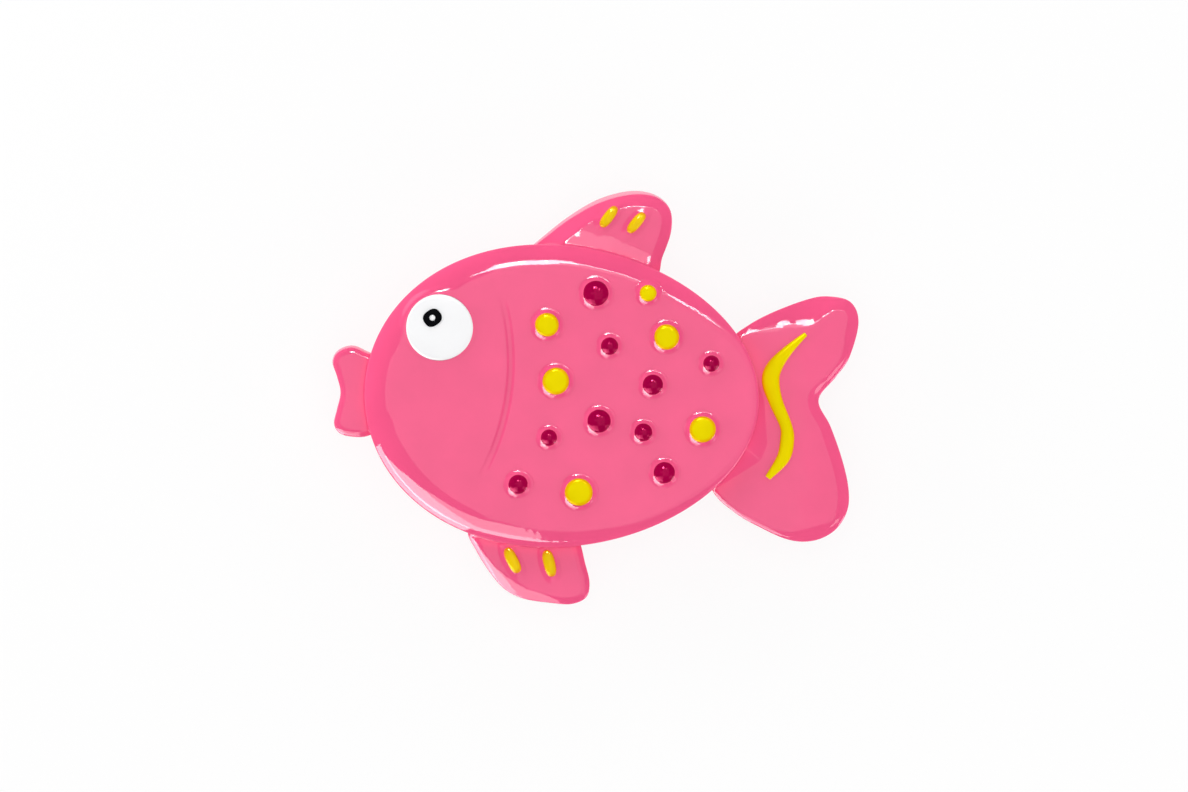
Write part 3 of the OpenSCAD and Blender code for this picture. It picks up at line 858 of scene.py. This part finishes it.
def stripe():
    """The wavy stripe: a crowned section drawn along a line on the tail."""
    points = root(TAIL_ANGLE) + np.array(STRIPE_SHARES) * (TAIL_REACH, TAIL_SPAN)
    line = curve_through(points, STRIPE_STEPS, closed=False)
    widths = curve_through(np.array(STRIPE_WIDTH_SHARES)[:, None], STRIPE_STEPS, closed=False)[:, 0]
    angles = np.linspace(0, math.pi, STRIPE_SECTION_POINTS)
    crown = np.sin(angles) ** STRIPE_CROWN_POWER * STRIPE_RISE
    skin = Skin()
    sections = []
    for place, across, width in zip(line, left_of(np.gradient(line, axis=0)), widths):
        out = np.concatenate([np.cos(angles), [-1, 1]]) * width * STRIPE_WIDTH / 2
        up = np.concatenate([crown * math.sqrt(min(1, width)), [-INLAY_SINK / 2] * 2])
        sections.append((place + out[:, None] * across, RELIEFS["tail"].height(place[None])[0] + up))
    first, last = skin.stack(sections)
    skin.lid(first, up=False)
    skin.lid(last)
    shares = np.concatenate([np.abs(np.cos(angles)), [1, 1]])
    return keep_rim(skin.object("stripe"), np.tile(shares, len(sections)))


def pupil():
    """A ring of black paint, thick and a little square."""
    middle = node_middle("eye_pupil")
    top = top_of("eye_pupil")
    half = half_sizes("eye_pupil") * PUPIL_STRETCH
    outer = turned(squarish(PUPIL_POWER) * half, PUPIL_SLANT)
    inner = squarish() * half_sizes("eye_glint") * GLINT_SHARE
    low = top - PUPIL_RISE - INLAY_SINK
    rings = [(inner, low), (outer, low)]
    rings += [(outer * share, top - depth) for share, depth in PUPIL_OUTER_EDGE]
    rings += [(inner * share, top - depth) for share, depth in PUPIL_INNER_EDGE]
    skin = Skin()
    added = [skin.add(middle + points, z) for points, z in rings]
    for first, second in zip(added, added[1:] + added[:1]):
        skin.band(first, second)
    return skin.object("pupil")


# Materials: a rim's colour starts and is full at two shares of the way out to the edge of a drop
RIM_SHARES = (0.72, 0.95)
MOTTLE_STOPS = (0.3, 0.7)
GLOSS_SPREAD = (0.7, 1.3)
PEEL_DEPTH = 0.05 * MM

# How much finer than the mottling of the colour the haze and the peel are
HAZE_FINENESS, PEEL_FINENESS = 6, 9


def node_tree(name):
    material = bpy.data.materials.new(name)
    material.use_nodes = True
    nodes = material.node_tree.nodes
    return material, nodes, material.node_tree.links, nodes["Principled BSDF"]


def noise(nodes, links, scale, detail, place):
    texture = nodes.new("ShaderNodeTexNoise")
    texture.inputs["Scale"].default_value = scale
    texture.inputs["Detail"].default_value = detail
    links.new(place.outputs["Object"], texture.inputs["Vector"])
    return texture.outputs["Fac"]


def ramp(nodes, links, source, low, high):
    """A colour that runs from low to high with a noise."""
    node = nodes.new("ShaderNodeValToRGB")
    for element, stop, colour in zip(node.color_ramp.elements, MOTTLE_STOPS, (low, high)):
        element.position = stop
        element.color = (*colour, 1)
    links.new(source, node.inputs["Fac"])
    return node.outputs["Color"]


def span(nodes, links, source, low, high, reach=(0, 1)):
    """A value that runs from low to high as its source runs over a reach."""
    node = nodes.new("ShaderNodeMapRange")
    node.inputs["From Min"].default_value, node.inputs["From Max"].default_value = reach
    node.inputs["To Min"].default_value = low
    node.inputs["To Max"].default_value = high
    links.new(source, node.inputs["Value"])
    return node.outputs["Result"]


def rimmed(nodes, links, face, colour):
    """A colour that gives way to another at the edge of a drop."""
    layer = nodes.new("ShaderNodeAttribute")
    layer.attribute_name = "rim"
    blend = nodes.new("ShaderNodeMix")
    blend.data_type = "RGBA"
    links.new(span(nodes, links, layer.outputs["Fac"], 0, 1, RIM_SHARES), blend.inputs["Factor"])
    links.new(face, blend.inputs["A"])
    blend.inputs["B"].default_value = (*colour, 1)
    return blend.outputs["Result"]


def plastic(name, colour, shift, gloss, coarse=90, bump=0.04, tint=(1, 1, 1), shine=0.5, coat=0, rim=None):
    """Moulded plastic: a slightly mottled colour, uneven gloss and a faint orange-peel surface.

    A rim is a colour for the edge of a drop.
    """
    material, nodes, links, shader = node_tree(name)
    place = nodes.new("ShaderNodeTexCoord")
    mottle = noise(nodes, links, coarse, detail=4, place=place)
    low = [c * (1 - shift) for c in colour]
    high = [min(1, c * (1 + shift)) for c in colour]
    face = ramp(nodes, links, mottle, low, high)
    if rim:
        face = rimmed(nodes, links, face, rim)
    links.new(face, shader.inputs["Base Color"])
    haze = noise(nodes, links, coarse * HAZE_FINENESS, detail=3, place=place)
    roughness = [gloss * share for share in GLOSS_SPREAD]
    links.new(span(nodes, links, haze, *roughness), shader.inputs["Roughness"])
    peel = nodes.new("ShaderNodeBump")
    peel.inputs["Strength"].default_value = bump
    peel.inputs["Distance"].default_value = PEEL_DEPTH
    grain = noise(nodes, links, coarse * PEEL_FINENESS, detail=2, place=place)
    links.new(grain, peel.inputs["Height"])
    links.new(peel.outputs["Normal"], shader.inputs["Normal"])
    shader.inputs["Specular Tint"].default_value = (*tint, 1)
    shader.inputs["Specular IOR Level"].default_value = shine
    shader.inputs["Coat Weight"].default_value = coat
    return material


PINK = plastic("pink_vinyl", (0.94, 0.097, 0.252), shift=0.03, gloss=0.04, bump=0.02)
YELLOW = plastic("yellow_vinyl", (0.855, 0.69, 0.0005), shift=0.05, gloss=0.1, tint=(1, 0.9, 0.02),
                 rim=(0.88, 0.42, 0.003))
MARK_YELLOW = plastic("mark_yellow_vinyl", (0.86, 0.58, 0.004), shift=0.08, gloss=0.1, coarse=220,
                      tint=(1, 0.8, 0.05), coat=0.1, rim=(0.88, 0.3, 0.02))
RED = plastic("red_vinyl", (0.36, 0.0002, 0.052), shift=0.12, gloss=0.03, tint=(1, 0.01, 0.2), coat=0.1)
WHITE = plastic("white_vinyl", (0.96, 0.96, 0.97), shift=0.01, gloss=0.18)
BLACK = plastic("black_vinyl", (0.003, 0.003, 0.004), shift=0.3, gloss=0.3, shine=0.01)
SQUEAKER = plastic("squeaker_plastic", (0.80, 0.81, 0.79), shift=0.03, gloss=0.32, bump=0.15)
REED = plastic("reed_film", (0.82, 0.85, 0.88), shift=0.04, gloss=0.22, coarse=400)


def place_piece(piece, material, node, body=None):
    """Dresses a piece and lets it take the place of a solid."""
    piece.data.materials.clear()
    piece.data.materials.append(material)
    piece.data.shade_smooth()
    piece.data.set_sharp_from_angle(angle=math.radians(SHARP_DEGREES))
    if body:
        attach(piece, body)
    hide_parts(node)
    return piece


# Assembly
front = place_piece(front_skin(), PINK, "front_shell")
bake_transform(front)
place_piece(back_skin(), PINK, "back_shell", body="back")

for number, node in enumerate(SPOTS):
    red = node.startswith("red")
    rise = top_of(node) - SEAT_TOP
    piece = drop(f"{node}_drop", node_middle(node), spot_half(node), SEAT_TOP, rise,
                 dome=RED_DOME if red else YELLOW_DOME, seed=1.3 * number)
    place_piece(piece, RED if red else YELLOW, node, body="front")

for number, (node, slant) in enumerate(MARK_SLANTS.items()):
    piece = drop(f"{node}_drop", node_middle(node), mark_half(node), FIN_TOP + MARK_SEAT_RISE,
                 MARK_RISE - MARK_SEAT_RISE, MARK_DOME, slant=slant, seed=0.9 * number, power=MARK_POWER)
    place_piece(piece, MARK_YELLOW, node, body="back")

place_piece(stripe(), YELLOW, "tail_stripe", body="back")
eye = drop("eye", EYE_SEAT.middle, EYE_SEAT.half, FRONT, EYE_RISE, EYE_DOME, wobble=0.006, seed=0.4)
place_piece(eye, WHITE, "eye_white", body="front")
place_piece(pupil(), BLACK, "eye_pupil", body="front")
glint = drop("glint", node_middle("eye_glint"), half_sizes("eye_glint") * GLINT_SHARE, FRONT + EYE_RISE,
             PUPIL_RISE * GLINT_RISE_SHARE, GLINT_DOME, wobble=0.02, seed=2)
place_piece(glint, WHITE, "eye_glint", body="front")

for node in ("squeaker_body", "reed_holder", "reed_clip", "squeaker_cap", "squeaker_reed"):
    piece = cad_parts[node]
    piece.data.materials.clear()
    piece.data.materials.append(REED if node == "squeaker_reed" else SQUEAKER)

# Stage: a floor that is nearly white to the camera and in reflections, and keeps the toy's shadow
FLOOR_HALF = 3
FLOOR_GREY = 0.95
FLOOR_GLOW_SHARE = 0.88


def greater(nodes, links, first, second):
    """The greater of two values."""
    node = nodes.new("ShaderNodeMath")
    node.operation = "MAXIMUM"
    links.new(first, node.inputs[0])
    links.new(second, node.inputs[1])
    return node.outputs[0]


floor_mesh = bpy.data.meshes.new("floor")
floor_corners = [(x * FLOOR_HALF, y * FLOOR_HALF, 0) for x, y in ((-1, -1), (1, -1), (1, 1), (-1, 1))]
floor_mesh.from_pydata(floor_corners, [], [(0, 1, 2, 3)])
floor = bpy.data.objects.new("floor", floor_mesh)
bpy.context.scene.collection.objects.link(floor)
floor_material, nodes, links, shader = node_tree("floor_white")
shader.inputs["Base Color"].default_value = (FLOOR_GREY, FLOOR_GREY, FLOOR_GREY, 1)
shader.inputs["Roughness"].default_value = 0.9
shader.inputs["Specular IOR Level"].default_value = 0
white = nodes.new("ShaderNodeEmission")
white.inputs["Strength"].default_value = 1
rays = nodes.new("ShaderNodeLightPath").outputs
mirrored = greater(nodes, links, rays["Is Glossy Ray"], rays["Is Transmission Ray"])
seen = greater(nodes, links, rays["Is Camera Ray"], mirrored)
mix = nodes.new("ShaderNodeMixShader")
links.new(span(nodes, links, seen, 0, FLOOR_GLOW_SHARE), mix.inputs["Fac"])
links.new(shader.outputs["BSDF"], mix.inputs[1])
links.new(white.outputs["Emission"], mix.inputs[2])
links.new(mix.outputs["Shader"], nodes["Material Output"].inputs["Surface"])
floor_mesh.materials.append(floor_material)


# Lamps: panels on a level plane over the toy, and upright ones that look at it
PANEL_HEIGHT = 0.5
TOY = (0, 0, 0.02)


def panel(name, radiance, size, place, target=None, turn=0):
    """A panel of light that looks at a target, or straight down with a turn in degrees.

    Its power follows from its size and brightness.
    """
    light = bpy.data.lights.new(name, "AREA")
    light.shape = "RECTANGLE"
    light.size, light.size_y = size
    light.energy = math.pi * radiance * size[0] * size[1]
    lamp = bpy.data.objects.new(name, light)
    lamp.location = place
    lamp.rotation_euler = (0, 0, math.radians(turn))
    if target:
        lamp.rotation_euler = (Vector(target) - Vector(place)).to_track_quat("-Z", "Y").to_euler()
    lamp.visible_camera = False
    bpy.context.scene.collection.objects.link(lamp)
    return lamp


def overhead(name, radiance, low, high, lower=0):
    """A level panel over the toy, given by two corners, and lower where it hangs in front of another."""
    size = (high[0] - low[0], high[1] - low[1])
    middle = ((low[0] + high[0]) / 2, (low[1] + high[1]) / 2)
    return panel(name, radiance, size, (*middle, PANEL_HEIGHT - lower))


# Broad panels that light the toy and show in it
overhead("broad", 1.15, (-0.07, -0.25), (0.064, 0.25))
overhead("broad_right", 0.9, (0.064, -0.25), (0.33, 0.25))
overhead("broad_end", 1.15, (-0.23, -0.03), (-0.07, 0.07))

# Lamps that only draw reflections: a bright strip beyond the dorsal fin and large panels beside the toy
reflected = [
    overhead("broad_top", 1.6, (-0.1, 0.2), (0.2, 0.268), 0.002),
    overhead("strip", 18, (-0.108, 0.215), (-0.004, 0.36), 0.004),
    overhead("strip_tip", 14, (-0.004, 0.272), (0.13, 0.298), 0.004),
    overhead("strip_end", 15, (0.128, 0.175), (0.163, 0.27), 0.004),
    overhead("strip_tail", 14, (-0.004, 0.252), (0.035, 0.345), 0.006),
    overhead("bulb", 120, (-0.08, 0.26), (-0.04, 0.325), 0.006),
    overhead("right_near", 3.2, (0.42, -0.62), (0.8, -0.3)),
    panel("right_wall", 6, (0.5, 0.22), (0.82, -0.58, 0.115), TOY),
    overhead("left_near", 4, (-0.28, -0.72), (-0.07, -0.27)),
    panel("left_far", 8.5, (1.07, 0.9), (-0.64, -0.88, PANEL_HEIGHT), turn=18),
    panel("left_wall", 9, (1.06, 0.5), (-0.91, -0.85, 0.26), TOY),
]
for lamp in reflected:
    lamp.visible_diffuse = False

# Lamps that only light it
fills = [
    panel("left_fill", 4.2, (0.6, 0.3), (-0.6, 0.1, 0.17), TOY),
    panel("right_fill", 2.1, (0.6, 0.3), (0.6, 0, 0.17), TOY),
    panel("low_fill", 2.2, (0.8, 0.3), (0.1, -0.6, 0.25), TOY),
    panel("soft_fill", 0.56, (1.2, 1.2), (-0.1, -0.2, 0.9)),
    panel("top_fill", 2.7, (0.8, 0.3), (0, 0.6, 0.2), TOY),
]
for lamp in fills:
    lamp.visible_glossy = False

world = bpy.data.worlds.new("studio")
world.use_nodes = True
background = world.node_tree.nodes["Background"].inputs
background["Color"].default_value = (1, 1, 1, 1)
background["Strength"].default_value = 0.15
bpy.context.scene.world = world

# Camera: straight above, with a long lens. The photograph is 1188 by 792 px, and the toy spans 525.4 px of it
PHOTO_WIDTH_PX = 1188
TOY_WIDTH_PX = 525.4
TOY_MIDDLE_PX = (595.5, 397.5)
PHOTO_MIDDLE_PX = (594, 396)
CAMERA_HEIGHT = 2.0
toy_width = cad_box[1][0] - cad_box[0][0]
metres_per_px = toy_width / TOY_WIDTH_PX
camera = bpy.data.cameras.new("camera")
camera.sensor_width = 36
camera.lens = camera.sensor_width * CAMERA_HEIGHT / (metres_per_px * PHOTO_WIDTH_PX)
camera_object = bpy.data.objects.new("camera", camera)
camera_object.location = (
    (PHOTO_MIDDLE_PX[0] - TOY_MIDDLE_PX[0]) * metres_per_px,
    (TOY_MIDDLE_PX[1] - PHOTO_MIDDLE_PX[1]) * metres_per_px,
    CAMERA_HEIGHT + SEAM * MM,
)
bpy.context.scene.collection.objects.link(camera_object)
bpy.context.scene.camera = camera_object
bpy.context.scene.view_settings.view_transform = "Standard"
